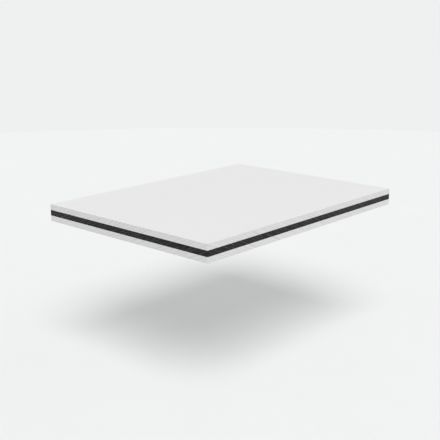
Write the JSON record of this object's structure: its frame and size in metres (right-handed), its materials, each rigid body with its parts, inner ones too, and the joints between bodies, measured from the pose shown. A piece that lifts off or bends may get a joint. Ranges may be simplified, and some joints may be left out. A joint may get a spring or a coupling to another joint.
{
  "type": "aluminium composite panel",
  "caption": "Flat rectangular sandwich panel with a pale coated aluminium face, an aluminium back and a black polyethylene core that shows as a stripe round its cut edges.",
  "frame": {"origin": "middle of the back face, on which the panel lies", "axes": "+X along the length, +Y across the width, +Z through the thickness towards the coated front face"},
  "size_m": [0.1, 0.075, 0.006],
  "materials": {
    "front_coated_aluminium": "satin",
    "black_polyethylene": "matte",
    "back_aluminium": "satin"
  },
  "bodies": {
    "root": {"back_skin": "back_aluminium", "core": "black_polyethylene", "front_skin": "front_coated_aluminium"}
  },
  "joints": []
}
